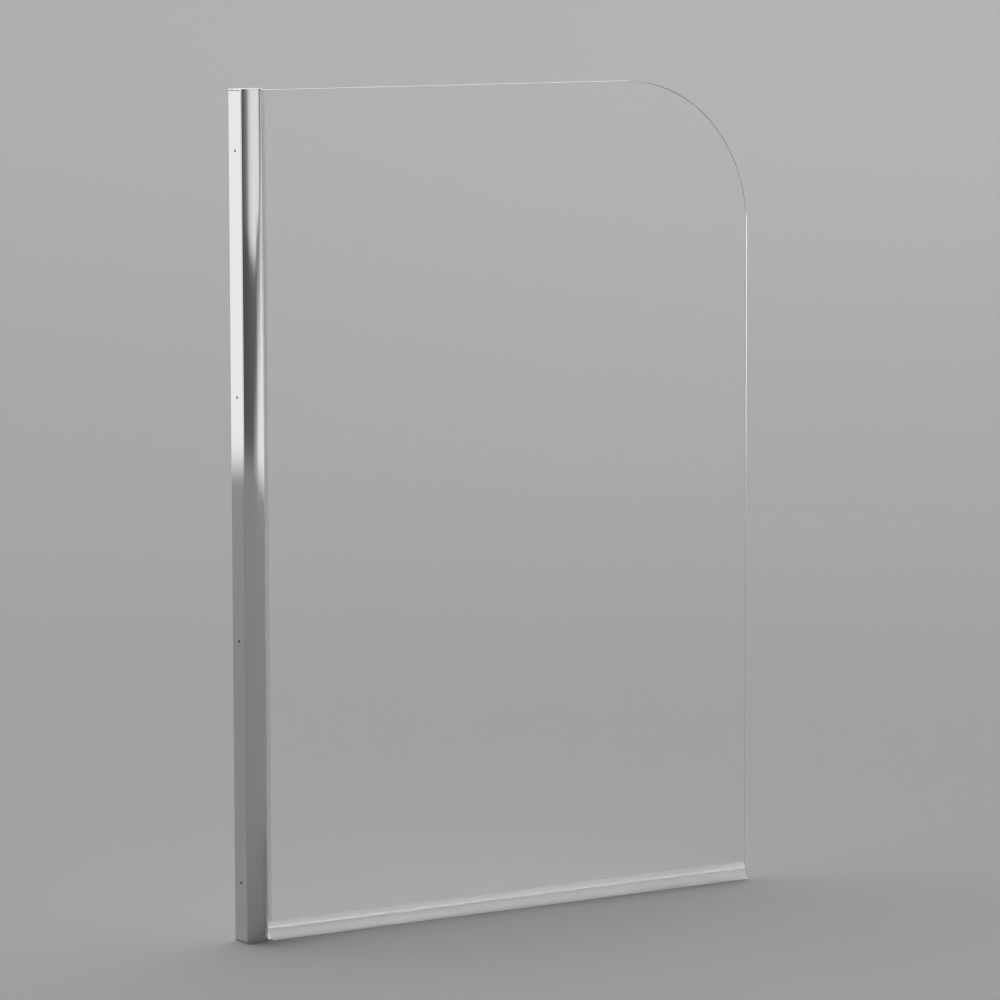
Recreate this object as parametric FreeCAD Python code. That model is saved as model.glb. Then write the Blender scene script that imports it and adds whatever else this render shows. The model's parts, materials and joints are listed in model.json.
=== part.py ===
import FreeCAD
import Part

import math
import os

from FreeCAD import Vector

# Bath screen: one curved-corner glass panel on a full-height pivot profile.
# Millimetres. X runs from the wall along the panel, Y through the glass (minus Y
# is the bath side) and Z up. The origin is on the wall face, at the middle of the
# wall channel's row of fixing holes.

# Overall size
overall_height = 1400.0
overall_width = 1021.0

# Hinge post: an open extrusion whose outside is half of an ellipse
post_reach = 50.0
post_half = 20.5
post_wall = 1.8
post_corner_radius = 0.6
wall_gap = 0.2
lip_x = 20.3
lip_step = 1.1
cavity_clearance = 0.4
web_wall = 1.6

# Glass carrier: the rotating nose of the profile
nose_reach = 49.2
nose_seam = 0.35
carrier_wall = 1.6
pivot_x = 29.0
boss_radius = 6.75

# Pivot pins and bushes
pin_radius = 3.0
pin_length = 20.0
pin_chamfer = 0.5
spigot_radius = 2.0
running_clearance = 0.05
fit_clearance = 0.02
bush_wall = 1.45
bush_length = 16.0
bush_flange_radius = 6.0
bush_flange_height = 1.4
bush_proud = 0.1

# Wall channel
channel_web = 2.0
channel_wall = 1.6
channel_depth = 13.8
channel_side_gap = 1.3
web_side_gap = 0.2
channel_end_gap = 1.0
channel_nose_gap = 1.2
fixing_count = 4
fixing_pitch = 400.0
fixing_hole_radius = 2.4

# Width adjustment and its lock screws, on the side away from the bath
lock_x = 5.2
lock_heights = (-560.0, 0.0, 560.0)
lock_radius = 1.75
lock_hole_clearance = 0.05
lock_notch_clearance = 0.35
lock_head_radius = 3.3
lock_head_height = 2.0
lock_head_round = 0.7
lock_nut_length = 10.0
lock_nut_half = 2.7
lock_nut_height = 2.8
lock_nut_gap = 0.2
lock_tip = 0.8
cover_wall = 1.1
cover_round = 1.4

# End caps and their screws
cap_height = 2.4
cap_reach = 49.6
cap_edge_radius = 0.5
port_x = 6.9
port_y = 8.5
port_radius = 3.0
cap_screw_radius = 1.6
cap_screw_length = 14.0
cap_screw_head_radius = 3.1
cap_screw_head_height = 1.6
end_gap = 0.3

# Glass
glass_thickness = 6.0
glass_corner_radius = 254.0
glass_dub_radius = 3.0
glass_arris = 0.5
glass_lift = 19.5

# Glazing
gasket_thickness = 1.2
gasket_lip_reach = 56.0
gasket_lip_tip = 0.5
gasket_lip_root = 2.2
gasket_inset = 1.0
gasket_nose_gap = 0.4
pocket_wall = 1.6
pocket_floor_wall = 2.5
packer_thickness = 1.2
packer_length = 60.0
packer_heights = (-500.0, 0.0, 500.0)

# Profile seals between the post and the carrier
strip_width = 2.2
strip_depth = 1.2
strip_angle = 124.0
strip_gap = 0.3

# Bottom seal
seal_start = 50.5
seal_end_short = 3.0
seal_top = 29.0
seal_leg = 1.2
seal_web = 1.5
lip_base = 1.2
fin_thickness = 1.4
fin_floor_gap = 0.3
drip_reach = 17.0
drip_floor_gap = 1.0
drip_thickness = 1.2
drip_bulge = 3.1

# How far a cutting shape passes through what it cuts
overshoot = 1.0

# Places that follow from the sizes above
base_z = -overall_height / 2.0
top_z = overall_height / 2.0
profile_bottom = base_z + cap_height
profile_top = top_z - cap_height
carrier_bottom = profile_bottom + end_gap
carrier_top = profile_top - end_gap
glass_bottom = base_z + glass_lift
glass_half = glass_thickness / 2.0
nose_half = post_half - lip_step
pocket_half = glass_half + gasket_thickness
bush_radius = pin_radius + running_clearance + bush_wall
pocket_floor = pivot_x + bush_radius + pocket_floor_wall
glass_start = pocket_floor + packer_thickness
web_bottom = glass_bottom - seal_web


def ellipse_y(reach, half, x):
    """Half width of an ellipse centred on the wall face, at a distance from the wall."""
    return half * math.sqrt(1.0 - (x / reach) ** 2)


seam_x = lip_x + nose_seam
barrel_radius = math.hypot(pivot_x - seam_x, ellipse_y(nose_reach, nose_half, seam_x))
cavity_radius = barrel_radius + cavity_clearance


def ellipse_face(reach, half):
    return Part.Face(Part.Wire([Part.Ellipse(Vector(0, 0, 0), reach, half).toShape()]))


def disc_face(x, y, radius):
    return Part.Face(Part.Wire([Part.makeCircle(radius, Vector(x, y, 0))]))


def polygon_face(points):
    corners = [Vector(x, y, 0) for x, y in points]
    return Part.Face(Part.makePolygon(corners + corners[:1]))


def rectangle_face(x_low, x_high, y_low, y_high):
    return polygon_face([(x_low, y_low), (x_high, y_low), (x_high, y_high), (x_low, y_high)])


def upright(section, z_low, z_high):
    """Extrude a plan section between two heights."""
    solids = [face.extrude(Vector(0, 0, z_high - z_low)) for face in section.Faces]
    body = solids[0]
    for other in solids[1:]:
        body = body.fuse(other)
    body.translate(Vector(0, 0, z_low))
    return body


def lengthwise(section, x_low, x_high):
    """Extrude a section drawn as (Y, Z) along the panel."""
    body = section.Faces[0].extrude(Vector(0, 0, x_high - x_low))
    body.transformShape(FreeCAD.Matrix(0, 0, 1, x_low, 1, 0, 0, 0, 0, 1, 0, 0, 0, 0, 0, 1))
    return body


def block(x_low, x_high, y_low, y_high, z_low, z_high):
    size = (x_high - x_low, y_high - y_low, z_high - z_low)
    return Part.makeBox(*size, Vector(x_low, y_low, z_low))


def rod(radius, start, direction, length):
    return Part.makeCylinder(radius, length, start, direction)


UP = Vector(0, 0, 1)
ACROSS = Vector(0, 1, 0)
ALONG = Vector(1, 0, 0)


def edges_at(shape, test):
    return [edge for edge in shape.Edges if all(test(v.Point) for v in edge.Vertexes)]


def near(value, target):
    return abs(value - target) < 1e-4


def edges_at_height(shape, z):
    return edges_at(shape, lambda p: near(p.z, z))


def hinge_post():
    outside = ellipse_face(post_reach, post_half)
    outside = outside.common(rectangle_face(wall_gap, lip_x, -post_half, post_half))
    channel_space = ellipse_face(post_reach - post_wall, post_half - post_wall)
    channel_space = channel_space.common(
        rectangle_face(0, channel_depth + channel_nose_gap, -post_half, post_half)
    )
    channel_space = channel_space.cut(disc_face(pivot_x, 0, cavity_radius + web_wall))
    section = outside.cut(channel_space)
    for side in (-1, 1):
        section = section.fuse(disc_face(port_x, side * port_y, port_radius))
    section = section.cut(disc_face(pivot_x, 0, cavity_radius))
    for side in (-1, 1):
        section = section.cut(disc_face(port_x, side * port_y, cap_screw_radius + fit_clearance))
    for side in (-1, 1):
        section = section.cut(strip_groove(side))
    body = upright(section.removeSplitter(), profile_bottom, profile_top)
    for z in lock_heights:
        start = Vector(lock_x, post_half - 2.0 * post_wall, z)
        body = body.cut(rod(lock_radius + lock_hole_clearance, start, ACROSS, 3.0 * post_wall))
    corner_y = ellipse_y(post_reach, post_half, wall_gap)
    corners = edges_at(body, lambda p: near(p.x, wall_gap) and near(abs(p.y), corner_y))
    corners = [edge for edge in corners if near(edge.Length, profile_top - profile_bottom)]
    return body.makeFillet(post_corner_radius, corners)


def strip_box(side, inner, outer, width):
    """Rectangle across the gap between post and carrier, square to the barrel."""
    face = rectangle_face(inner, outer, -width / 2.0, width / 2.0)
    face.rotate(Vector(0, 0, 0), UP, side * strip_angle)
    face.translate(Vector(pivot_x, 0, 0))
    return face


def strip_groove(side):
    inner = cavity_radius - overshoot
    outer = cavity_radius + strip_depth
    return strip_box(side, inner, outer, strip_width)


def profile_seal(side):
    inner = barrel_radius + strip_gap
    outer = cavity_radius + strip_depth - fit_clearance
    section = strip_box(side, inner, outer, strip_width - 2.0 * fit_clearance)
    return upright(section, profile_bottom, profile_top)


def wall_channel():
    low = profile_bottom + channel_end_gap
    high = profile_top - channel_end_gap
    web_half = post_half - post_wall - web_side_gap
    outer = post_half - post_wall - channel_side_gap
    body = block(0, channel_web, -web_half, web_half, low, high)
    for side in (-1, 1):
        y_low, y_high = sorted((side * (outer - channel_wall), side * outer))
        body = body.fuse(block(0, channel_depth, y_low, y_high, low, high))
    body = body.removeSplitter()
    for step in range(fixing_count):
        z = (step - (fixing_count - 1) / 2.0) * fixing_pitch
        start = Vector(-overshoot, 0, z)
        body = body.cut(rod(fixing_hole_radius, start, ALONG, channel_web + 2.0 * overshoot))
    notch = lock_radius + lock_notch_clearance
    y_range = (outer - channel_wall - overshoot, outer + overshoot)
    for z in lock_heights:
        start = Vector(lock_x, y_range[0], z)
        body = body.cut(rod(notch, start, ACROSS, y_range[1] - y_range[0]))
        body = body.cut(block(lock_x, channel_depth + overshoot, *y_range, z - notch, z + notch))
    return body


def lock_seat():
    """Distance from the mid plane to the post's outer face beside a lock screw."""
    return ellipse_y(post_reach, post_half, lock_x - lock_head_radius) + fit_clearance


def lock_screws():
    nut_inner = post_half - post_wall - channel_side_gap - channel_wall - lock_nut_gap - lock_nut_height
    solids = []
    for z in lock_heights:
        start = Vector(lock_x, nut_inner - lock_tip, z)
        shank = rod(lock_radius, start, ACROSS, lock_seat() - start.y)
        head = rod(lock_head_radius, Vector(lock_x, lock_seat(), z), ACROSS, lock_head_height)
        rim = edges_at(head, lambda p: near(p.y, lock_seat() + lock_head_height))
        head = head.makeFillet(lock_head_round, rim)
        solids.append(shank.fuse(head).removeSplitter())
    return Part.makeCompound(solids)


def lock_nuts():
    outer = post_half - post_wall - channel_side_gap - channel_wall - lock_nut_gap
    solids = []
    for z in lock_heights:
        x_range = (lock_x - lock_nut_half, lock_x + lock_nut_half)
        half = lock_nut_length / 2.0
        nut = block(*x_range, outer - lock_nut_height, outer, z - half, z + half)
        start = Vector(lock_x, 0, z)
        solids.append(nut.cut(rod(lock_radius + fit_clearance, start, ACROSS, post_half)))
    return Part.makeCompound(solids)


def lock_covers():
    radius = lock_head_radius + fit_clearance + cover_wall
    solids = []
    for z in lock_heights:
        seat = Vector(lock_x, lock_seat(), z)
        height = lock_head_height + fit_clearance
        cover = rod(radius, seat, ACROSS, height + cover_wall)
        rim = edges_at(cover, lambda p: near(p.y, seat.y + height + cover_wall))
        cover = cover.makeFillet(cover_round, rim)
        solids.append(cover.cut(rod(lock_head_radius + fit_clearance, seat, ACROSS, height)))
    return Part.makeCompound(solids)


def end_cap(outer_z, inward):
    """Plate over one end of the profile; inward points along Z towards the glass."""
    low, high = sorted((outer_z, outer_z + inward * cap_height))
    section = ellipse_face(cap_reach, post_half)
    section = section.common(rectangle_face(wall_gap, cap_reach, -post_half, post_half))
    body = upright(section, low, high)
    if inward < 0:
        body = body.makeFillet(cap_edge_radius, edges_at_height(body, outer_z))
    axis = Vector(0, 0, inward)
    body = body.cut(rod(spigot_radius + fit_clearance, Vector(pivot_x, 0, low), UP, cap_height))
    for side in (-1, 1):
        place = Vector(port_x, side * port_y, outer_z)
        body = body.cut(rod(cap_screw_radius + fit_clearance, place, axis, cap_height))
        body = body.cut(screw_head(place, axis, fit_clearance))
    return body


def screw_head(place, axis, grow):
    """Countersunk head with its top at place."""
    radii = (cap_screw_head_radius + grow, cap_screw_radius + grow)
    return Part.makeCone(*radii, cap_screw_head_height, place, axis)


def cap_screws(outer_z, inward):
    axis = Vector(0, 0, inward)
    solids = []
    for side in (-1, 1):
        place = Vector(port_x, side * port_y, outer_z)
        shank = rod(cap_screw_radius, place, axis, cap_screw_length)
        solids.append(shank.fuse(screw_head(place, axis, 0.0)).removeSplitter())
    return Part.makeCompound(solids)


def pivot_pin(outer_z, inward):
    axis = Vector(0, 0, inward)
    shoulder = Vector(pivot_x, 0, outer_z + inward * cap_height)
    pin = rod(pin_radius, shoulder, axis, pin_length)
    pin = pin.makeChamfer(pin_chamfer, edges_at_height(pin, shoulder.z + inward * pin_length))
    return pin.fuse(rod(spigot_radius, Vector(pivot_x, 0, outer_z), axis, cap_height)).removeSplitter()


def pivot_bush(end_z, inward):
    """Flanged bush in one end of the carrier's bore."""
    axis = Vector(0, 0, inward)
    start = Vector(pivot_x, 0, end_z - inward * bush_proud)
    body = rod(bush_radius, start, axis, bush_length)
    body = body.fuse(rod(bush_flange_radius, start, axis, bush_flange_height))
    return body.cut(rod(pin_radius + running_clearance, start, axis, bush_length)).removeSplitter()


def glass_carrier():
    nose_side = rectangle_face(pivot_x, nose_reach + overshoot, -nose_half, nose_half)
    outside = ellipse_face(nose_reach, nose_half)
    outside = outside.common(disc_face(pivot_x, 0, barrel_radius).fuse(nose_side))
    inside = ellipse_face(nose_reach - carrier_wall, nose_half - carrier_wall)
    inside = inside.common(disc_face(pivot_x, 0, barrel_radius - carrier_wall).fuse(nose_side))
    inside = inside.cut(disc_face(pivot_x, 0, boss_radius))
    pocket_outer = pocket_half + pocket_wall
    inside = inside.cut(rectangle_face(pocket_floor - pocket_wall, nose_reach, -pocket_outer, pocket_outer))
    half_web = carrier_wall / 2.0
    inside = inside.cut(rectangle_face(pivot_x - half_web, pivot_x + half_web, -post_half, post_half))
    inside = inside.cut(rectangle_face(0, pivot_x, -half_web, half_web))
    section = outside.cut(inside)
    section = section.cut(disc_face(pivot_x, 0, bush_radius + fit_clearance))
    section = section.cut(rectangle_face(pocket_floor, nose_reach + overshoot, -pocket_half, pocket_half))
    body = upright(section.removeSplitter(), carrier_bottom, carrier_top)
    seat_radius = bush_flange_radius + running_clearance
    seat_depth = bush_flange_height - bush_proud
    for end_z, inward in ((carrier_bottom, 1), (carrier_top, -1)):
        body = body.cut(rod(seat_radius, Vector(pivot_x, 0, end_z), Vector(0, 0, inward), seat_depth))
    return body


def glass_outline():
    """Panel outline in the XZ plane, with the large top corner."""
    right = overall_width
    radius = glass_corner_radius
    dub = glass_dub_radius
    diagonal = math.sqrt(0.5)
    corner = Vector(glass_start, 0, glass_bottom)
    foot = Vector(right - dub, 0, glass_bottom)
    foot_mid = Vector(right - dub + dub * diagonal, 0, glass_bottom + dub - dub * diagonal)
    foot_end = Vector(right, 0, glass_bottom + dub)
    arc_start = Vector(right, 0, carrier_top - radius)
    arc_mid = Vector(right - radius + radius * diagonal, 0, carrier_top - radius + radius * diagonal)
    arc_end = Vector(right - radius, 0, carrier_top)
    top = Vector(glass_start, 0, carrier_top)
    edges = [
        Part.makeLine(corner, foot),
        Part.Arc(foot, foot_mid, foot_end).toShape(),
        Part.makeLine(foot_end, arc_start),
        Part.Arc(arc_start, arc_mid, arc_end).toShape(),
        Part.makeLine(arc_end, top),
        Part.makeLine(top, corner),
    ]
    return Part.Wire(edges)


def glass_panel():
    face = Part.Face(glass_outline())
    body = face.extrude(Vector(0, glass_thickness, 0))
    body.translate(Vector(0, -glass_half, 0))
    outline = [edge for edge in body.Edges if near(edge.BoundBox.YLength, 0)]
    return body.makeChamfer(glass_arris, outline)


def gasket(side):
    """Wedge gasket on one face of the glass, with a lip outside the nose."""
    inner = glass_half + fit_clearance
    outer = pocket_half - fit_clearance
    nose_end = nose_reach * math.sqrt(1.0 - (pocket_half / nose_half) ** 2)
    lip_root = nose_end + gasket_nose_gap
    in_pocket = rectangle_face(glass_start + gasket_inset, lip_root, inner, outer)
    lip = polygon_face(
        [
            (lip_root, inner),
            (gasket_lip_reach, inner),
            (gasket_lip_reach, inner + gasket_lip_tip),
            (lip_root + gasket_lip_root / 2.0, inner + gasket_lip_root),
            (lip_root, inner + gasket_lip_root),
        ]
    )
    body = upright(in_pocket, glass_bottom + glass_arris, carrier_top)
    body = body.fuse(upright(lip, base_z + seal_top + end_gap, carrier_top)).removeSplitter()
    if side < 0:
        body = body.mirror(Vector(0, 0, 0), ACROSS)
    return body


def glazing_packers():
    half = packer_length / 2.0
    x_range = (pocket_floor + fit_clearance, glass_start - fit_clearance)
    blocks = [block(*x_range, -glass_half, glass_half, z - half, z + half) for z in packer_heights]
    return Part.makeCompound(blocks)


def glass_support():
    """Block in the foot of the pocket that carries the glass."""
    half = pocket_half - fit_clearance
    x_range = (pocket_floor + fit_clearance, nose_reach - carrier_wall)
    return block(*x_range, -half, half, carrier_bottom, glass_bottom - fit_clearance)


def seal_channel():
    outer = glass_half + fit_clearance + seal_leg
    inner = glass_half + fit_clearance
    top = base_z + seal_top
    floor = glass_bottom - fit_clearance
    section = rectangle_face(-outer, outer, web_bottom, top)
    section = section.cut(rectangle_face(-inner, inner, floor, top + overshoot))
    return lengthwise(section, seal_start, overall_width - seal_end_short)


def drip_section():
    """Curved blade that throws water back into the bath, drawn as (Y, Z)."""
    half = glass_half + fit_clearance + seal_leg
    inner_tip = Vector(-drip_reach, base_z + drip_floor_gap, 0)
    outer_tip = inner_tip + Vector(0, drip_thickness / 2.0, 0)
    outer_root = Vector(-half, web_bottom, 0)
    join = Vector(-half + drip_thickness, web_bottom, 0)
    inner_root = Vector(-half + drip_thickness, web_bottom - lip_base, 0)
    chord = outer_tip - outer_root
    normal = Vector(-chord.y, chord.x, 0).normalize()
    outer_mid = (outer_root + outer_tip) / 2.0 + normal * drip_bulge
    inner_mid = outer_mid + normal * drip_thickness
    edges = [
        Part.Arc(outer_root, outer_mid, outer_tip).toShape(),
        Part.makeLine(outer_tip, inner_tip),
        Part.Arc(inner_tip, inner_mid, inner_root).toShape(),
        Part.makeLine(inner_root, join),
        Part.makeLine(join, outer_root),
    ]
    return Part.Face(Part.Wire(edges))


def seal_lips():
    half = glass_half + fit_clearance + seal_leg
    fin_half = fin_thickness / 2.0
    base = rectangle_face(-half, half, web_bottom - lip_base, web_bottom)
    fin = rectangle_face(-fin_half, fin_half, base_z + fin_floor_gap, web_bottom)
    section = base.fuse([fin, drip_section()]).removeSplitter()
    return lengthwise(section, seal_start, overall_width - seal_end_short)


parts = {
    "wall_channel": wall_channel(),
    "hinge_post": hinge_post(),
    "post_seal_front": profile_seal(-1),
    "post_seal_rear": profile_seal(1),
    "lock_screws": lock_screws(),
    "lock_nuts": lock_nuts(),
    "lock_screw_covers": lock_covers(),
    "top_cap": end_cap(top_z, -1),
    "foot_cap": end_cap(base_z, 1),
    "top_cap_screws": cap_screws(top_z, -1),
    "foot_cap_screws": cap_screws(base_z, 1),
    "top_pivot_pin": pivot_pin(top_z, -1),
    "bottom_pivot_pin": pivot_pin(base_z, 1),
    "top_bush": pivot_bush(carrier_top, -1),
    "bottom_bush": pivot_bush(carrier_bottom, 1),
    "glass_carrier": glass_carrier(),
    "glass_support_block": glass_support(),
    "glazing_packers": glazing_packers(),
    "glass_panel": glass_panel(),
    "gasket_front": gasket(-1),
    "gasket_rear": gasket(1),
    "seal_channel": seal_channel(),
    "seal_lips": seal_lips(),
}

os.makedirs("parts", exist_ok=True)
for name, shape in parts.items():
    print(name, len(shape.Solids), shape.isValid(), round(shape.Volume, 1))
    shape.exportStep(f"parts/{name}.step")
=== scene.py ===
import json
import math

import bmesh
import bpy
from mathutils import Matrix, Vector


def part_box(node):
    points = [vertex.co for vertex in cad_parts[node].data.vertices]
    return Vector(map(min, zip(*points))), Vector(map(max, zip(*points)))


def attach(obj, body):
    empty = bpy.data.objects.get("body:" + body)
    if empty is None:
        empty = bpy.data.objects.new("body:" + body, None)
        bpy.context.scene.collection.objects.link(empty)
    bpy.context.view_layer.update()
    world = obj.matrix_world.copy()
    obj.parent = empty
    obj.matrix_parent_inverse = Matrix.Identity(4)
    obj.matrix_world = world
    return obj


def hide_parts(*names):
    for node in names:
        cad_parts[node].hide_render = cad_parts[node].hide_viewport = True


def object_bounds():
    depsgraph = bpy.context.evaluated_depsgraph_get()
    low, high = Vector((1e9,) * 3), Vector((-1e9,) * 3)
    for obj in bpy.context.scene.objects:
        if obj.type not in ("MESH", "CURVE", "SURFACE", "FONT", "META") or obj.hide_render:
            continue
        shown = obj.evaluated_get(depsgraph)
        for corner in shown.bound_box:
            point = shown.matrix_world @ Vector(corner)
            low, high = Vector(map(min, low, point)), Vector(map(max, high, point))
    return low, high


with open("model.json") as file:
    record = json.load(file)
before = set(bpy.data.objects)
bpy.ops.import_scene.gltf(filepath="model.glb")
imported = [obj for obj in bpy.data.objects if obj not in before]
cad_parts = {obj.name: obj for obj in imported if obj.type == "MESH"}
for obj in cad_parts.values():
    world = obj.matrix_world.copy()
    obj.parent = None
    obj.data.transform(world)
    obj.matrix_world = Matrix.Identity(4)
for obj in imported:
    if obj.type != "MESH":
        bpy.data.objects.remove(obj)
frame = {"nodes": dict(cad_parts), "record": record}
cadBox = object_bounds()
nodes = frame["nodes"]
floorZ = cadBox[0].z
print("frame loaded:", len(nodes), "nodes")


class Wire:  # one output socket, so that sums on it can be written as sums
    def __init__(self, tree, socket):
        self.tree = tree
        self.socket = socket

    def out(self, name):  # another output of the same node
        return Wire(self.tree, self.socket.node.outputs[name])

    def math(self, operation, *others):
        inputs = dict(enumerate((self, *others)))
        return node(self.tree, "ShaderNodeMath", {"operation": operation}, inputs)

    def __add__(self, other):
        return self.math("ADD", other)

    def __sub__(self, other):
        return self.math("SUBTRACT", other)

    def __mul__(self, other):
        return self.math("MULTIPLY", other)

    def __truediv__(self, other):
        return self.math("DIVIDE", other)

    def __pow__(self, other):
        return self.math("POWER", other)

    def __rsub__(self, other):
        return node(self.tree, "ShaderNodeMath", {"operation": "SUBTRACT"}, {0: other, 1: self})

    def __rtruediv__(self, other):
        return node(self.tree, "ShaderNodeMath", {"operation": "DIVIDE"}, {0: other, 1: self})

    __radd__ = __add__
    __rmul__ = __mul__

    def smooth(self, low, high):  # 0 below low, 1 above high, eased between
        settings = {"interpolation_type": "SMOOTHSTEP"}
        return node(self.tree, "ShaderNodeMapRange", settings, {0: self, 1: low, 2: high})

    def window(self, start, end, soft):  # 1 from start to end, eased over soft on each side of both
        return self.smooth(start - soft, start + soft) * (1.0 - self.smooth(end - soft, end + soft))

    def blend(self, colourA, colourB):  # a colour mix, with this wire as its factor
        inputs = {0: self, 6: colourA, 7: colourB}
        return node(self.tree, "ShaderNodeMix", {"data_type": "RGBA"}, inputs, 2)


def node(tree, kind, settings=None, inputs=None, output=0):
    made = tree.nodes.new(kind)
    for name, value in (settings or {}).items():
        setattr(made, name, value)
    for name, value in (inputs or {}).items():
        for each in value if isinstance(value, list) else [value]:  # a list fills a socket that takes many
            if isinstance(each, Wire):
                tree.links.new(each.socket, made.inputs[name])
            else:
                made.inputs[name].default_value = each
    return Wire(tree, made.outputs[output])


def grey(level):
    return (level, level, level, 1.0)


def newMaterial(name, **sockets):
    material = bpy.data.materials.new(name)
    material.use_nodes = True
    shader = material.node_tree.nodes["Principled BSDF"]
    for socket, value in sockets.items():
        shader.inputs[socket.replace("_", " ")].default_value = value
    return material, material.node_tree, shader


def newObject(name, data):
    made = bpy.data.objects.new(name, data)
    bpy.context.scene.collection.objects.link(made)
    return made


cameraView = {
    "place": (-4.2291, -7.1955, 0.9885), "down": 6.55, "turn": -33.39, "roll": 0.145,
    "lens": 185.6, "reach": 300.0,
}


def buildCamera(view):
    data = bpy.data.cameras.new("camera")
    data.lens = view["lens"]
    data.clip_end = view["reach"]
    camera = newObject("camera", data)
    camera.location = view["place"]
    angles = (90.0 - view["down"], view["roll"], view["turn"])
    camera.rotation_euler = [math.radians(angle) for angle in angles]
    bpy.context.scene.camera = camera
    bpy.context.scene.view_settings.view_transform = "Standard"


buildCamera(cameraView)
print("camera set")

floorLook = {
    "radius": 120.0, "segments": 96, "roughness": 0.9, "gloss": 0.1,
    "near": 0.362, "far": 0.452, "fadeFrom": 2.5, "fadeTo": 40.0,
    "paintedSideBearing": 123.0, "paintedSideRange": 0.15, "paintedSideLight": 0.035,
}


def buildFloor(look):  # painted light: the floor's colour grows lighter far from the object, and a little lighter on one side far away, for the uneven fall of the studio light
    mesh = bpy.data.meshes.new("studioFloor")
    form = bmesh.new()
    bmesh.ops.create_circle(form, cap_ends=True, segments=look["segments"], radius=look["radius"])
    bmesh.ops.translate(form, verts=form.verts, vec=(0, 0, floorZ))
    form.to_mesh(mesh)
    form.free()
    sockets = {"Roughness": look["roughness"], "Specular_IOR_Level": look["gloss"]}
    material, tree, shader = newMaterial("studioFloorPaint", **sockets)
    place = node(tree, "ShaderNodeTexCoord", output="Object")
    distance = node(tree, "ShaderNodeVectorMath", {"operation": "LENGTH"}, {0: place}, "Value")
    # painted light: the floor's colour rises with distance from the object, and a little more on one side far
    # away
    away = distance.math("LOGARITHM", math.e).smooth(math.log(look["fadeFrom"]), math.log(look["fadeTo"]))
    side = math.radians(look["paintedSideBearing"])
    inputs = {0: place, 1: (math.sin(side), math.cos(side), 0.0)}
    across = node(tree, "ShaderNodeVectorMath", {"operation": "DOT_PRODUCT"}, inputs, "Value")
    lean = (across / distance).smooth(-look["paintedSideRange"], look["paintedSideRange"]) - 0.5
    level = look["near"] + away * (look["far"] - look["near"]) + away * lean * look["paintedSideLight"]
    tree.links.new(level.socket, shader.inputs["Base Color"])
    mesh.materials.append(material)
    newObject("studioFloor", mesh)


# A ring of cards round the set, seen only in polished surfaces and cut edges. Bearings run from +Y
# towards +X, in degrees, and heights from the floor, in metres.
ringLook = {
    "radius": 7.22, "middle": (-0.725, -0.644), "height": 5.0, "segments": 240,
    "dark": 0.12, "darkRise": 0.12, "riseFrom": 145.0, "riseSpan": 40.0,
    "backdrop": 0.80, "backdropFrom": 60.0, "backdropTo": 100.0,
    "leftBank": 1.34, "leftFrom": -125.0, "leftTo": 5.0, "leftSoft": 10.0,
    "sideBank": 1.24, "sideFrom": 0.0, "sideFull": 25.0, "sideTop": 0.96, "sideTopSoft": 0.15,
    "rampCentre": 124.5, "rampLean": 38.8, "rampWidth": 30.0,
    "softBox": 1.16, "boxFrom": 98.5, "boxTo": 137.5, "boxSoft": 8.0,
    "boxFoot": 0.654, "boxFootSoft": 0.05, "boxFootMiddle": 127.2, "boxFootRise": 0.00029,
    "backLight": 4.2, "backFrom": 18.0, "backTo": 48.0, "backSoft": 5.0,
    "backLow": 1.5, "backHigh": 2.4, "backHeightSoft": 0.15,
    "floorTone": 0.43, "skirtLow": -0.038, "skirtHigh": 0.11,
    "paneFrom": 115.0, "paneTo": 155.0, "paneSoft": 5.0, "paneSum": 0.96, "paneShare": 1.18,
}


def ringPattern(look, bearing, height):  # the light of the cards, each one laid over those before it
    rampAt = look["rampCentre"] - height * look["rampLean"]  # the side bank reaches nearer the front low down
    side = 1.0 - ((bearing - rampAt) / look["rampWidth"]).smooth(-0.5, 0.5)
    top, topSoft = look["sideTop"], look["sideTopSoft"]
    side = side * (1.0 - height.smooth(top - topSoft, top + topSoft))
    side = side * bearing.smooth(look["sideFrom"], look["sideFull"])
    behind = 1.0 - bearing.math("ABSOLUTE").smooth(look["backdropFrom"], look["backdropTo"])
    left = bearing.window(look["leftFrom"], look["leftTo"], look["leftSoft"])
    foot = (bearing - look["boxFootMiddle"]) ** 2.0 * look["boxFootRise"] + look["boxFoot"]
    box = bearing.window(look["boxFrom"], look["boxTo"], look["boxSoft"])
    box = box * (height - foot).smooth(-look["boxFootSoft"], look["boxFootSoft"])
    back = bearing.window(look["backFrom"], look["backTo"], look["backSoft"])
    back = back * height.window(look["backLow"], look["backHigh"], look["backHeightSoft"])
    rise = ((look["riseFrom"] - bearing) / look["riseSpan"]).math("MAXIMUM", 0.0).math("MINIMUM", 1.0)
    glow = rise * look["darkRise"] + look["dark"]
    cards = {"backdrop": behind, "leftBank": left, "sideBank": side, "softBox": box, "backLight": back}
    for level, mask in cards.items():
        glow = glow + mask * (look[level] - glow)
    skirt = height.smooth(look["skirtLow"], look["skirtHigh"])  # the cards fade into the floor
    return skirt * (glow - look["floorTone"]) + look["floorTone"]


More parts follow.
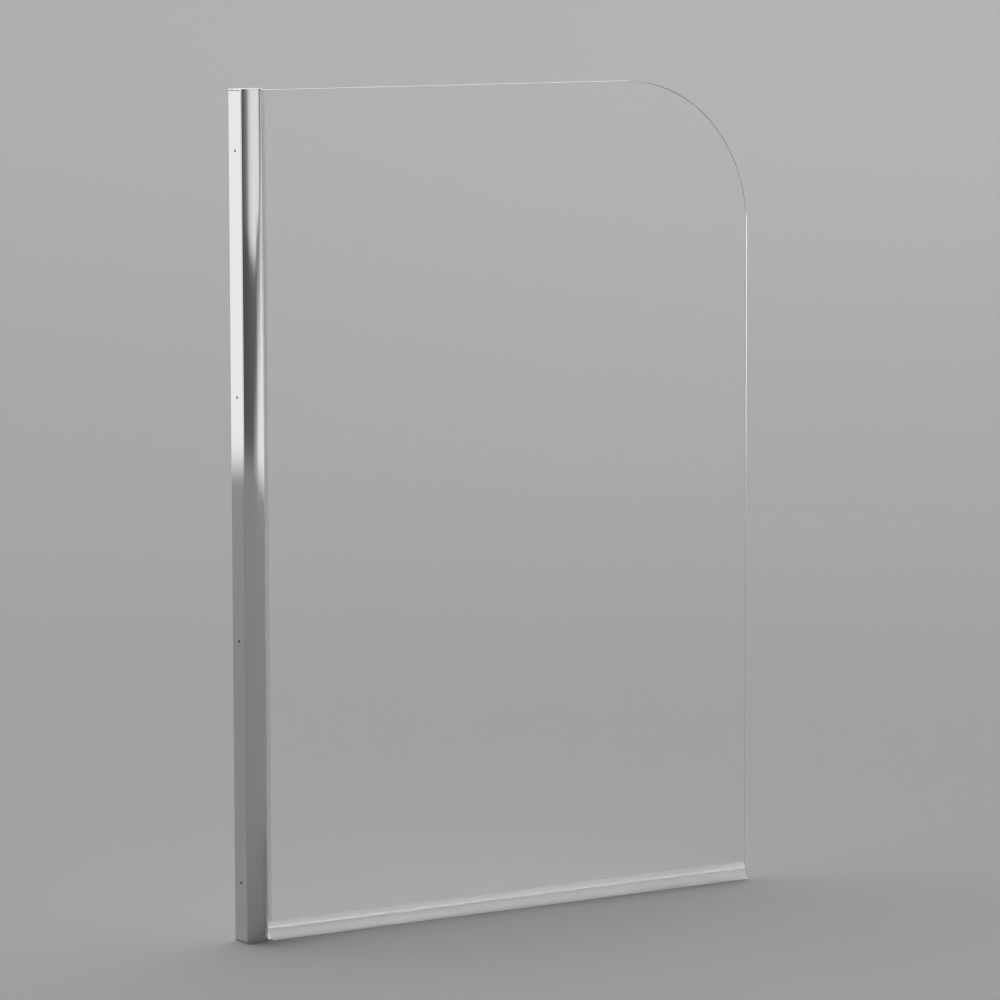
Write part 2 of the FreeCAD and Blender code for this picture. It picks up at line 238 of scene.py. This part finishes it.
def buildRing(look):
    mesh = bpy.data.meshes.new("studioCards")
    form = bmesh.new()
    turns = [2.0 * math.pi * i / look["segments"] for i in range(look["segments"])]
    midX, midY = look["middle"]
    rim = [(midX + look["radius"] * math.sin(a), midY + look["radius"] * math.cos(a)) for a in turns]
    low = [form.verts.new((x, y, floorZ)) for x, y in rim]
    high = [form.verts.new((x, y, floorZ + look["height"])) for x, y in rim]
    for i in range(look["segments"]):
        j = (i + 1) % look["segments"]
        form.faces.new((low[i], low[j], high[j], high[i]))
    form.to_mesh(mesh)
    form.free()
    material = bpy.data.materials.new("studioCardGlow")
    material.use_nodes = True
    tree = material.node_tree
    tree.nodes.clear()
    place = node(tree, "ShaderNodeTexCoord", output="Object")
    split = node(tree, "ShaderNodeSeparateXYZ", inputs={0: place})
    bearing = split.math("ARCTAN2", split.out("Y")) * math.degrees(1.0)
    glow = ringPattern(look, bearing, split.out("Z") - floorZ)
    path = node(tree, "ShaderNodeLightPath", output="Glossy Depth")
    inPane = path.out("Transmission Depth").math("GREATER_THAN", 0.5)  # a reflection off the pane's rear face
    inPane = inPane * bearing.window(look["paneFrom"], look["paneTo"], look["paneSoft"])
    evened = (look["paneSum"] - glow * look["paneShare"]).math("MAXIMUM", 0.0)
    glow = glow + inPane * (evened - glow)
    shine = node(tree, "ShaderNodeEmission", inputs={"Color": glow})
    clear = node(tree, "ShaderNodeBsdfTransparent")
    mirrored = path.math("GREATER_THAN", 0.5)
    seen = node(tree, "ShaderNodeMixShader", inputs={0: mirrored, 1: clear, 2: shine})
    output = tree.nodes.new("ShaderNodeOutputMaterial")
    tree.links.new(seen.socket, output.inputs["Surface"])
    mesh.materials.append(material)
    ring = newObject("studioCards", mesh)
    ring.visible_camera = False
    ring.visible_diffuse = False
    ring.visible_shadow = False


lampLook = {"bearing": 1.0, "climb": 37.0, "spread": 122.0, "strength": 4.0}


def buildLamp(look):  # one broad soft lamp from behind and above
    data = bpy.data.lights.new("softTopLamp", "SUN")
    data.angle = math.radians(look["spread"])
    data.energy = look["strength"]
    lamp = newObject("softTopLamp", data)
    bearing, climb = math.radians(look["bearing"]), math.radians(look["climb"])
    level = math.cos(climb)
    towards = Vector((math.sin(bearing) * level, math.cos(bearing) * level, math.sin(climb)))
    lamp.rotation_euler = towards.to_track_quat("Z", "Y").to_euler()
    lamp.visible_camera = False
    lamp.visible_glossy = False


airLook = {"fill": 0.13, "seen": 0.50}


def buildAir(look):  # the air of the room, brighter where it is seen, also in metal and through glass
    world = bpy.data.worlds.new("studioAir")
    bpy.context.scene.world = world
    world.use_nodes = True
    tree = world.node_tree
    tree.nodes.clear()
    path = node(tree, "ShaderNodeLightPath")
    seen = path.math("MAXIMUM", path.out("Is Glossy Ray")).math("MAXIMUM", path.out("Is Transmission Ray"))
    colour = seen.blend(grey(look["fill"]), grey(look["seen"]))
    air = node(tree, "ShaderNodeBackground", inputs={"Color": colour})
    output = tree.nodes.new("ShaderNodeOutputWorld")
    tree.links.new(air.socket, output.inputs["Surface"])


buildFloor(floorLook)
buildRing(ringLook)
buildLamp(lampLook)
buildAir(airLook)
print("studio set")


def objectPlace(tree):
    return node(tree, "ShaderNodeTexCoord", output="Object")


def facingAlong(tree, axis):  # 1 where the surface faces along an axis of the object, 0 square to it
    facing = node(tree, "ShaderNodeTexCoord", output="Normal")
    return node(tree, "ShaderNodeSeparateXYZ", inputs={0: facing}, output=axis).math("ABSOLUTE")


def noise(tree, place, pattern):  # a pattern is a noise's scale and detail
    scale, detail = pattern
    return node(tree, "ShaderNodeTexNoise", inputs={"Vector": place, "Scale": scale, "Detail": detail})


def drawnLines(tree, place, stretch):  # fine lines along the axis whose stretch is small
    along = node(tree, "ShaderNodeMapping", inputs={"Vector": place, "Scale": stretch})
    return noise(tree, along, (1.0, 2.0))


def setSurface(tree, shader, look, rough, relief):  # the roughness, and a bump from the relief
    tree.links.new(rough.socket, shader.inputs["Roughness"])
    bump = node(tree, "ShaderNodeBump", inputs={
        "Strength": look["bump"], "Distance": look["bumpDepth"], "Height": relief})
    tree.links.new(bump.socket, shader.inputs["Normal"])


chromeLook = {
    "colour": (0.585, 0.59, 0.6), "rough": 0.045, "lines": (900.0, 900.0, 6.0), "lineRough": 0.02,
    "haze": (14.0, 3.0), "hazeFrom": 0.45, "hazeTo": 0.75, "hazeRough": 0.025,
    "endFrom": 0.9, "endRough": 0.31, "bump": 0.02, "bumpDepth": 0.0002,
}


def chromeFinish(look):  # bright plate: a faint draw along the extrusion, a breath of haze, duller flat ends
    material, tree, shader = newMaterial("polishedChrome", Metallic=1.0, Base_Color=(*look["colour"], 1))
    place = objectPlace(tree)
    drawn = drawnLines(tree, place, look["lines"])
    haze = noise(tree, place, look["haze"]).smooth(look["hazeFrom"], look["hazeTo"])
    end = facingAlong(tree, "Z").math("GREATER_THAN", look["endFrom"])
    rough = haze * look["hazeRough"] + drawn * look["lineRough"] + end * look["endRough"] + look["rough"]
    setSurface(tree, shader, look, rough, drawn)
    return material


steelLook = {
    "colour": (0.56, 0.555, 0.545), "rough": 0.22, "grain": (2600.0, 2.0), "grainRough": 0.18,
    "bump": 0.15, "bumpDepth": 0.00005,
}


def steelFinish(look):  # turned and drawn stainless steel
    material, tree, shader = newMaterial("turnedSteel", Metallic=1.0, Base_Color=(*look["colour"], 1))
    grain = noise(tree, objectPlace(tree), look["grain"])
    setSurface(tree, shader, look, grain * look["grainRough"] + look["rough"], grain)
    return material


mouldedLook = {
    "spark": (1800.0, 3.0), "sparkRough": 0.2, "flow": (60.0, 2.0), "paler": 1.06,
    "bump": 0.2, "bumpDepth": 0.00004,
}
acetalLook = {**mouldedLook, "colour": (0.78, 0.78, 0.75), "rough": 0.3}
fibreLook = {**mouldedLook, "colour": (0.29, 0.3, 0.31), "rough": 0.7}


def mouldedFinish(name, look):  # a fine spark texture, and a tint that drifts with the flow
    material, tree, shader = newMaterial(name)
    place = objectPlace(tree)
    spark = noise(tree, place, look["spark"])
    paler = tuple(min(1.0, c * look["paler"]) for c in look["colour"])
    tint = noise(tree, place, look["flow"]).blend((*look["colour"], 1), (*paler, 1))
    tree.links.new(tint.socket, shader.inputs["Base Color"])
    setSurface(tree, shader, look, spark * look["sparkRough"] + look["rough"], spark)
    return material


glassLook = {"colour": (0.995, 0.997, 0.996), "faceFrom": 0.95, "edgeRough": 0.12, "shadow": 0.69}


def glassFinish(look):  # clear float glass, its ground edges polished a little less, with a pale shadow
    sockets = {"IOR": 1.5, "Transmission_Weight": 1.0, "Base_Color": (*look["colour"], 1)}
    material, tree, shader = newMaterial("clearGlass", **sockets)
    edge = facingAlong(tree, "Y").math("LESS_THAN", look["faceFrom"])
    tree.links.new((edge * look["edgeRough"]).socket, shader.inputs["Roughness"])
    toLamp = node(tree, "ShaderNodeLightPath", output="Is Shadow Ray")
    clear = node(tree, "ShaderNodeBsdfTransparent", inputs={"Color": grey(look["shadow"])})
    mix = node(tree, "ShaderNodeMixShader", inputs={0: toLamp, 1: Wire(tree, shader.outputs[0]), 2: clear})
    tree.links.new(mix.socket, tree.nodes["Material Output"].inputs["Surface"])
    return material


vinylLook = {"cloud": (35.0, 3.0), "darker": 0.96, "lineRough": 0.8, "bumpDepth": 0.00005}
gasketVinylLook = {
    **vinylLook, "colour": (0.96, 0.97, 0.97), "rough": 0.08, "lines": (1500.0, 1500.0, 4.0), "bump": 0.03,
}
channelVinylLook = {
    **vinylLook, "colour": (0.92, 0.93, 0.93), "rough": 0.58, "lines": (4.0, 1500.0, 1500.0), "bump": 0.15,
}
lipVinylLook = {
    **vinylLook, "colour": (0.90, 0.91, 0.91), "rough": 0.5, "lines": (4.0, 1500.0, 1500.0), "bump": 0.15,
}


def vinylFinish(name, look, **sockets):  # clear or milky PVC with the lines of its die
    material, tree, shader = newMaterial(name, IOR=1.46, **sockets)
    place = objectPlace(tree)
    drawn = drawnLines(tree, place, look["lines"])
    darker = tuple(c * look["darker"] for c in look["colour"])
    tint = noise(tree, place, look["cloud"]).blend((*darker, 1), (*look["colour"], 1))
    tree.links.new(tint.socket, shader.inputs["Base Color"])
    setSurface(tree, shader, look, drawn * (look["bump"] * look["lineRough"]) + look["rough"], drawn)
    return material


chrome = chromeFinish(chromeLook)
slotFinish = {
    "chrome": chrome,
    "channel_bright": chrome,
    "stainless": steelFinish(steelLook),
    "acetal": mouldedFinish("naturalAcetal", acetalLook),
    "soft_grey": mouldedFinish("softGreyPile", fibreLook),
    "glass": glassFinish(glassLook),
    "gasket_clear": vinylFinish("clearGasketVinyl", gasketVinylLook, Transmission_Weight=0.97),
    "seal_clear": vinylFinish("clearSealVinyl", channelVinylLook, Transmission_Weight=0.93, Alpha=0.5),
    "seal_soft": vinylFinish("softSealVinyl", lipVinylLook, Transmission_Weight=0.9),
}
nodeSlot = {part["node"]: part["material_slot"] for part in frame["record"]["subparts"]}
for name, slot in nodeSlot.items():
    nodes[name].data.materials.clear()
    nodes[name].data.materials.append(slotFinish[slot])
print("finishes set")


mm = 0.001
socketKinds = {float: "NodeSocketFloat", int: "NodeSocketInt", tuple: "NodeSocketVector"}


def newGraph(name, look):  # a tree whose inputs are a geometry, a material and each key with a capital
    tree = bpy.data.node_groups.new(name, "GeometryNodeTree")
    tree.interface.new_socket("Geometry", in_out="INPUT", socket_type="NodeSocketGeometry")
    tree.interface.new_socket("Geometry", in_out="OUTPUT", socket_type="NodeSocketGeometry")
    tree.interface.new_socket("Material", in_out="INPUT", socket_type="NodeSocketMaterial")
    for label, value in look.items():
        if label[0].isupper():
            kind = socketKinds[type(value)]
            tree.interface.new_socket(label, in_out="INPUT", socket_type=kind).default_value = value
    return tree, node(tree, "NodeGroupInput")


def endGraph(tree, given, shape, sharpFrom):  # smooth but for its sharp edges, realized, with its material
    angle = node(tree, "GeometryNodeInputMeshEdgeAngle")
    limit = {0: angle, 1: math.radians(sharpFrom)}
    soft = node(tree, "FunctionNodeCompare", {"operation": "LESS_THAN"}, limit)
    for domain, smooth in (("FACE", True), ("EDGE", soft)):
        inputs = {"Geometry": shape, "Shade Smooth": smooth}
        shape = node(tree, "GeometryNodeSetShadeSmooth", {"domain": domain}, inputs)
    shape = node(tree, "GeometryNodeRealizeInstances", inputs={0: shape})
    inputs = {"Geometry": shape, "Material": given.out("Material")}
    shape = node(tree, "GeometryNodeSetMaterial", inputs=inputs)
    output = tree.nodes.new("NodeGroupOutput")
    tree.links.new(shape.socket, output.inputs[0])
    return tree


def vector(tree, x=0.0, y=0.0, z=0.0):
    return node(tree, "ShaderNodeCombineXYZ", inputs={0: x, 1: y, 2: z})


def placed(tree, shape, **how):  # how is a Translation, Rotation or Scale
    return node(tree, "GeometryNodeTransform", inputs={"Geometry": shape, **how})


def cone(tree, sides, bottom, top, depth):
    inputs = {"Vertices": sides, "Radius Bottom": bottom, "Radius Top": top, "Depth": depth}
    return node(tree, "GeometryNodeMeshCone", {"fill_type": "NGON"}, inputs)


def fillet(tree, curve, radius, count, limited):
    inputs = {"Curve": curve, "Radius": radius, "Limit Radius": limited, "Count": count}
    return node(tree, "GeometryNodeFilletCurve", {"mode": "POLY"}, inputs)


def dividedLine(tree, start, end, by, amount):  # a straight run in even steps, by Count or by Length
    line = node(tree, "GeometryNodeCurvePrimitiveLine", inputs={"Start": start, "End": end})
    return node(tree, "GeometryNodeResampleCurve", {"mode": by.upper()}, {"Curve": line, by: amount})


def makePiece(name, tree, values, body, replaced, data=None):  # a plain mesh of what the tree makes
    slot = nodeSlot[replaced]
    source = newObject(name + "Source", data or bpy.data.meshes.new(name + "Source"))
    modifier = source.modifiers.new("shape", "NODES")
    modifier.node_group = tree
    given = {**values, "Material": slotFinish[slot]}
    for item in tree.interface.items_tree:
        if item.item_type == "SOCKET" and item.in_out == "INPUT" and item.name in given:
            modifier[item.identifier] = given[item.name]
    bpy.context.view_layer.update()
    evaluated = source.evaluated_get(bpy.context.evaluated_depsgraph_get())
    mesh = bpy.data.meshes.new_from_object(evaluated)
    source.modifiers.remove(modifier)
    bpy.data.objects.remove(source)
    mesh.name = name
    piece = newObject(name, mesh)
    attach(piece, body)
    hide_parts(replaced)
    print(name, "made:", len(mesh.polygons), "faces")
    return piece


# the glass, drawn flat and then stood up; the first corner of its outline is the quadrant
paneLook = {
    "Thickness": 0.006, "Arris": 0.0008, "ArrisRound": 0.0003, "ArrisSteps": 4,
    "Quadrant": 0.254, "QuadrantSteps": 72, "Corner": 0.003, "CornerSteps": 12,
    "weld": 0.00005, "sharpFrom": 20.0,
}


def paneGraph(look):  # a rectangle with one large and three small corners, its edges flat between arrises
    tree, given = newGraph("pane", {"Width": 1.0, "Height": 1.4, **look})
    index = node(tree, "GeometryNodeInputIndex")
    settings = {"data_type": "INT", "operation": "EQUAL"}
    isQuadrant = node(tree, "FunctionNodeCompare", settings, {2: index, 3: 0})

    def perCorner(kind, usual, first):
        inputs = {0: isQuadrant, 1: given.out(usual), 2: given.out(first)}
        return node(tree, "GeometryNodeSwitch", {"input_type": kind}, inputs)

    def outline(inset):
        width, height = [given.out(side) - inset * 2.0 for side in ("Width", "Height")]
        curve = node(tree, "GeometryNodeCurvePrimitiveQuadrilateral", inputs={0: width, 1: height})
        radius = perCorner("FLOAT", "Corner", "Quadrant") - inset
        return fillet(tree, curve, radius, perCorner("INT", "CornerSteps", "QuadrantSteps"), False)

    half = given.out("Thickness") / 2.0
    arris = given.out("Arris")
    corners = ((0.0 - arris, half), (0.0, half - arris), (0.0, arris - half), (0.0 - arris, 0.0 - half))
    points = {f"Point {i + 1}": vector(tree, x, y) for i, (x, y) in enumerate(corners)}
    edge = node(tree, "GeometryNodeCurvePrimitiveQuadrilateral", {"mode": "POINTS"}, points)
    edge = node(tree, "GeometryNodeSetSplineCyclic", inputs={"Geometry": edge, "Cyclic": False})
    edge = fillet(tree, edge, given.out("ArrisRound"), given.out("ArrisSteps"), True)
    band = node(tree, "GeometryNodeCurveToMesh", inputs={"Curve": outline(0.0), "Profile Curve": edge})
    band = node(tree, "GeometryNodeFlipFaces", inputs={0: band})
    face = node(tree, "GeometryNodeFillCurve", {"mode": "NGONS"}, {"Curve": outline(arris)})
    front = placed(tree, face, Translation=vector(tree, z=half))
    back = placed(tree, face, Translation=vector(tree, z=0.0 - half))
    back = node(tree, "GeometryNodeFlipFaces", inputs={0: back})
    shape = node(tree, "GeometryNodeJoinGeometry", inputs={0: [band, front, back]})
    shape = node(tree, "GeometryNodeMergeByDistance", inputs={"Geometry": shape, "Distance": look["weld"]})
    shape = placed(tree, shape, Rotation=(math.radians(90.0), 0.0, 0.0))
    return endGraph(tree, given, shape, look["sharpFrom"])


def buildPane(look):
    low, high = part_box("glass_panel")
    values = {**look, "Width": high.x - low.x, "Height": high.z - low.z}
    piece = makePiece("glassPane", paneGraph(look), values, "panel", "glass_panel")
    piece.data.transform(Matrix.Translation((low + high) / 2.0))


buildPane(paneLook)

# A section swept along a straight run. Each corner of the section is rounded by its point's radius,
# and the part between WaveFrom and WaveTo in height ripples a little more towards WaveTo.
sweepLook = {
    "Start": (0.0, 0.0, 0.0), "End": (1.0, 0.0, 0.0), "Steps": 2, "CornerSteps": 4,
    "Wave": 0.0, "WaveLength": 0.1, "WaveFrom": 0.0, "WaveTo": 1.0, "Seed": 0.0, "sharpFrom": 35.0,
}


def sweepGraph(look):
    tree, given = newGraph("lengthwise", look)
    radius = node(tree, "GeometryNodeInputRadius")
    section = fillet(tree, given.out("Geometry"), radius, given.out("CornerSteps"), True)
    path = dividedLine(tree, given.out("Start"), given.out("End"), "Count", given.out("Steps"))
    shape = node(tree, "GeometryNodeCurveToMesh", inputs={
        "Curve": path, "Profile Curve": section, "Fill Caps": True})
    place = node(tree, "GeometryNodeInputPosition")
    split = node(tree, "ShaderNodeSeparateXYZ", inputs={0: place})
    free = split.out("Z").smooth(given.out("WaveFrom"), given.out("WaveTo"))
    ripple = noise(tree, vector(tree, split / given.out("WaveLength"), given.out("Seed")), (1.0, 1.0))
    shift = (ripple - 0.5) * free * given.out("Wave") * 2.0
    shape = node(tree, "GeometryNodeSetPosition", inputs={"Geometry": shape, "Offset": vector(tree, y=shift)})
    return endGraph(tree, given, shape, look["sharpFrom"])


sweep = sweepGraph(sweepLook)


def sectionCurve(name, corners):  # corners are (x, y, radius) in millimetres, counter-clockwise
    curve = bpy.data.curves.new(name, "CURVE")
    curve.dimensions = "3D"
    spline = curve.splines.new("POLY")
    spline.points.add(len(corners) - 1)
    for point, (x, y, radius) in zip(spline.points, corners):
        point.co = (x * mm, y * mm, 0.0, 1.0)
        point.radius = radius * mm
    spline.use_cyclic_u = True
    return curve


def sweepPiece(name, replaced, corners, values):
    makePiece(name, sweep, values, "panel", replaced, sectionCurve(name + "Section", corners))


def boxInMm(name):
    return [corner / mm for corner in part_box(name)]


# rigid channel and soft lips along the foot of the glass, in millimetres
sealLook = {
    "slot": 6.04, "web": 1.48, "rim": 0.5, "slotRound": 0.3, "channelSteps": 8,
    "base": 1.2, "baseRound": 0.5, "fin": 1.4, "finRoot": 0.8, "finRound": 0.6, "finClear": 0.3,
    "bladeRoot": 1.2, "bladeTip": 0.6, "bladeBulge": 3.1, "bladeRound": 0.28, "bladeClear": 1.0,
    "wave": 0.25, "waveLength": 160.0, "lipSteps": 160, "lipCornerSteps": 6,
}


def toSweep(points):  # a section drawn as (Y, Z) turns half round when it is swept along +X
    return [(-y, -z, radius) for y, z, radius in points]


def arcCorner(start, end, bulge):  # the corner whose rounding is the arc from start to end
    chord = Vector(end) - Vector(start)
    normal = Vector((-chord.y, chord.x)).normalized()
    half = chord.length / 2.0
    radius = (half * half + bulge * bulge) / (2.0 * bulge)
    reach = half * math.tan(math.asin(half / radius))
    middle = (Vector(start) + Vector(end)) / 2.0 + normal * reach
    return middle.x, middle.y, radius


def buildSealChannel(look):
    low, high = boxInMm("seal_channel")
    outer = high.y
    inner = look["slot"] / 2.0
    floor = low.z + look["web"]
    rim = look["rim"]
    corners = [
        (-outer, low.z, rim), (outer, low.z, rim), (outer, high.z, rim), (inner, high.z, rim),
        (inner, floor, look["slotRound"]), (-inner, floor, look["slotRound"]),
        (-inner, high.z, rim), (-outer, high.z, rim),
    ]
    values = {"Start": (low.x * mm, 0, 0), "End": (high.x * mm, 0, 0), "Steps": look["channelSteps"]}
    sweepPiece("sealChannelClear", "seal_channel", toSweep(corners), values)


def buildSealLips(look):
    low, high = boxInMm("seal_lips")
    outer = high.y
    top = high.z
    under = top - look["base"]
    fin = look["fin"] / 2.0
    tip = (low.y, low.z + look["bladeClear"] - look["finClear"])  # the fin's end is the lower one
    tipTop = (tip[0], tip[1] + look["bladeTip"])
    root = (-outer, top)
    innerRoot = (-outer + look["bladeRoot"], under)
    corners = [
        (outer, top, 0.0), (*root, 0.0), arcCorner(root, tipTop, look["bladeBulge"]),
        (*tipTop, look["bladeRound"]), (*tip, look["bladeRound"]),
        arcCorner(innerRoot, tip, look["bladeBulge"]), (*innerRoot, 0.0),
        (-fin, under, look["finRoot"]), (-fin, low.z, look["finRound"]),
        (fin, low.z, look["finRound"]), (fin, under, look["finRoot"]), (outer, under, look["baseRound"]),
    ]
    values = {
        "Start": (low.x * mm, 0, 0), "End": (high.x * mm, 0, 0), "Steps": look["lipSteps"],
        "CornerSteps": look["lipCornerSteps"], "Wave": look["wave"] * mm,
        "WaveLength": look["waveLength"] * mm, "WaveFrom": under * mm, "WaveTo": low.z * mm,
    }
    sweepPiece("sealLipsSoft", "seal_lips", toSweep(corners), values)


buildSealChannel(sealLook)
buildSealLips(sealLook)

# the clear gaskets that close the pocket on both faces of the glass, in millimetres
gasketLook = {
    "inner": 3.02, "innerRound": 0.2, "tip": 0.5, "tipRound": 0.2, "tipEdge": 0.12,
    "shoulder": 50.4, "shoulderRound": 1.2, "crown": 5.2, "root": 48.45, "rootRound": 0.5,
    "pocketOuter": 4.18, "pocketRound": 0.15, "bottom": -670.7,
    "ribs": (46.0, 43.4, 40.8), "ribHalf": 0.6, "ribDepth": 0.35, "ribRound": 0.1,
    "steps": 24, "cornerSteps": 4,
}


def buildGasket(name, replaced, side, look):
    low, high = boxInMm(replaced)
    inner, outer, root, crown = look["inner"], look["pocketOuter"], look["root"], look["crown"]
    corners = [
        (low.x, inner, look["innerRound"]), (high.x, inner, look["tipEdge"]),
        (high.x, inner + look["tip"], look["tipRound"]), (look["shoulder"], crown, look["shoulderRound"]),
        (root, crown, look["rootRound"]), (root, outer, look["pocketRound"]),
    ]
    for rib in look["ribs"]:  # notches that leave barbs between them, to hold it in the pocket
        notch = ((look["ribHalf"], 0.0), (0.0, look["ribDepth"]), (-look["ribHalf"], 0.0))
        corners += [(rib + along, outer - depth, look["ribRound"]) for along, depth in notch]
    corners.append((low.x, outer, look["innerRound"]))
    if side < 0:
        corners = [(x, -y, radius) for x, y, radius in reversed(corners)]
    values = {
        "Start": (0, 0, look["bottom"] * mm), "End": (0, 0, high.z * mm),
        "Steps": look["steps"], "CornerSteps": look["cornerSteps"],
    }
    sweepPiece(name, replaced, corners, values)


buildGasket("gasketLipFront", "gasket_front", -1, gasketLook)
buildGasket("gasketLipRear", "gasket_rear", 1, gasketLook)

# Pile weatherstrips in the grooves of the post: a woven backing with a row of tufts. Lean is in radians,
# angle in degrees round the pivot, and outer runs from the pivot line to the bottom of the groove.
pileLook = {
    "Width": 0.00212, "Backing": 0.0004, "Reach": 0.00125, "Pitch": 0.0016,
    "Tuft": 0.00099, "TuftShare": 0.92, "TuftSides": 6, "Lean": 0.105, "Shortest": 0.86, "Seed": 4,
    "pivot": (0.029, 0.0), "angle": 124.0, "outer": 0.02106, "sharpFrom": 35.0,
}


def pileGraph(look):
    tree, given = newGraph("pileStrip", {"Length": 1.4, **look})
    length, width, backing, pitch = [given.out(name) for name in ("Length", "Width", "Backing", "Pitch")]
    strip = node(tree, "GeometryNodeMeshCube", inputs={"Size": vector(tree, backing, width, length)})
    strip = placed(tree, strip, Translation=vector(tree, 0.0 - backing / 2.0))
    low = vector(tree, 0.0 - backing, z=pitch - length / 2.0)
    high = vector(tree, 0.0 - backing, z=length / 2.0 - pitch)
    run = dividedLine(tree, low, high, "Length", pitch)
    size = vector(tree, given.out("Tuft"), width * given.out("TuftShare"), given.out("Reach") - backing)
    tuft = placed(tree, cone(tree, given.out("TuftSides"), 0.5, 0.4, 1.0), Scale=size)
    tuft = placed(tree, tuft, Rotation=(0.0, math.radians(-90.0), 0.0))

    def between(least, most):
        inputs = {2: least, 3: most, "Seed": given.out("Seed")}
        return node(tree, "FunctionNodeRandomValue", {"data_type": "FLOAT"}, inputs, 1)

    lean = vector(tree, y=between(0.0 - given.out("Lean"), given.out("Lean")))
    stretch = vector(tree, between(given.out("Shortest"), 1.0), 1.0, 1.0)
    tufts = node(tree, "GeometryNodeInstanceOnPoints", inputs={
        "Points": run, "Instance": tuft, "Rotation": lean, "Scale": stretch})
    shape = node(tree, "GeometryNodeJoinGeometry", inputs={0: [strip, tufts]})
    return endGraph(tree, given, shape, look["sharpFrom"])


pileStrip = pileGraph(pileLook)


def buildPile(name, replaced, side, look):
    low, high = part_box(replaced)
    piece = makePiece(name, pileStrip, {**look, "Length": high.z - low.z}, "post", replaced)
    toPivot = Matrix.Translation((*look["pivot"], (low.z + high.z) / 2.0))
    turn = Matrix.Rotation(math.radians(side * look["angle"]), 4, "Z")
    piece.data.transform(toPivot @ turn @ Matrix.Translation((look["outer"], 0, 0)))


buildPile("pileStripFront", "post_seal_front", -1, pileLook)
buildPile("pileStripRear", "post_seal_rear", 1, pileLook)

# countersunk screws of the end caps, with a cross recess; the two of a pair stop at different angles
screwLook = {
    "Shank": 0.0016, "Head": 0.0031, "HeadHeight": 0.0016, "Length": 0.014, "TipShare": 0.8, "Sides": 40,
    "Recess": 0.0036, "RecessWidth": 0.0008, "RecessDepth": 0.0013, "RecessTop": 0.7071, "RecessFoot": 0.35,
    "Spacing": 0.017, "FirstTurn": 0.35, "TurnStep": 0.6, "sharpFrom": 30.0,
}


def screwGraph(look):  # a pair of screws, heads up at Z = 0
    tree, given = newGraph("screwPair", look)
    shank, head, height, length = [given.out(name) for name in ("Shank", "Head", "HeadHeight", "Length")]

    def turned(bottom, top, depth, lowest):
        made = cone(tree, given.out("Sides"), bottom, top, depth)
        return placed(tree, made, Translation=vector(tree, z=lowest))

    def boolean(operation, inputs):
        settings = {"operation": operation, "solver": "EXACT"}
        return node(tree, "GeometryNodeMeshBoolean", settings, inputs, "Mesh")

    body = turned(shank, head, height, 0.0 - height)
    stem = turned(shank * given.out("TipShare"), shank, length - height * 0.5, 0.0 - length)
    whole = boolean("UNION", {"Mesh 2": [body, stem]})
    size = vector(tree, given.out("Recess"), given.out("RecessWidth"), given.out("RecessDepth"))
    wedge = cone(tree, 4, given.out("RecessFoot"), given.out("RecessTop"), 2.0)
    wedge = placed(tree, wedge, Translation=(0.0, 0.0, -1.0), Rotation=(0.0, 0.0, math.radians(45.0)))
    slots = [placed(tree, wedge, Scale=size, Rotation=(0.0, 0.0, math.radians(turn))) for turn in (0.0, 90.0)]
    screw = boolean("DIFFERENCE", {"Mesh 1": whole, "Mesh 2": [boolean("UNION", {"Mesh 2": slots})]})
    half = given.out("Spacing") / 2.0
    row = node(tree, "GeometryNodeMeshLine", {"mode": "END_POINTS"}, {
        "Count": 2, "Start Location": vector(tree, y=0.0 - half), "Offset": vector(tree, y=half)})
    turn = node(tree, "GeometryNodeInputIndex") * given.out("TurnStep") + given.out("FirstTurn")
    pair = node(tree, "GeometryNodeInstanceOnPoints", inputs={
        "Points": row, "Instance": screw, "Rotation": vector(tree, z=turn)})
    return endGraph(tree, given, pair, look["sharpFrom"])


screwPair = screwGraph(screwLook)


def buildScrews(name, replaced, up, look):
    low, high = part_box(replaced)
    piece = makePiece(name, screwPair, look, "post", replaced)
    turn = Matrix.Identity(4) if up else Matrix.Rotation(math.pi, 4, "X")
    place = ((low.x + high.x) / 2.0, 0, high.z if up else low.z)
    piece.data.transform(Matrix.Translation(place) @ turn)


buildScrews("topCapScrews", "top_cap_screws", True, screwLook)
buildScrews("footCapScrews", "foot_cap_screws", False, screwLook)
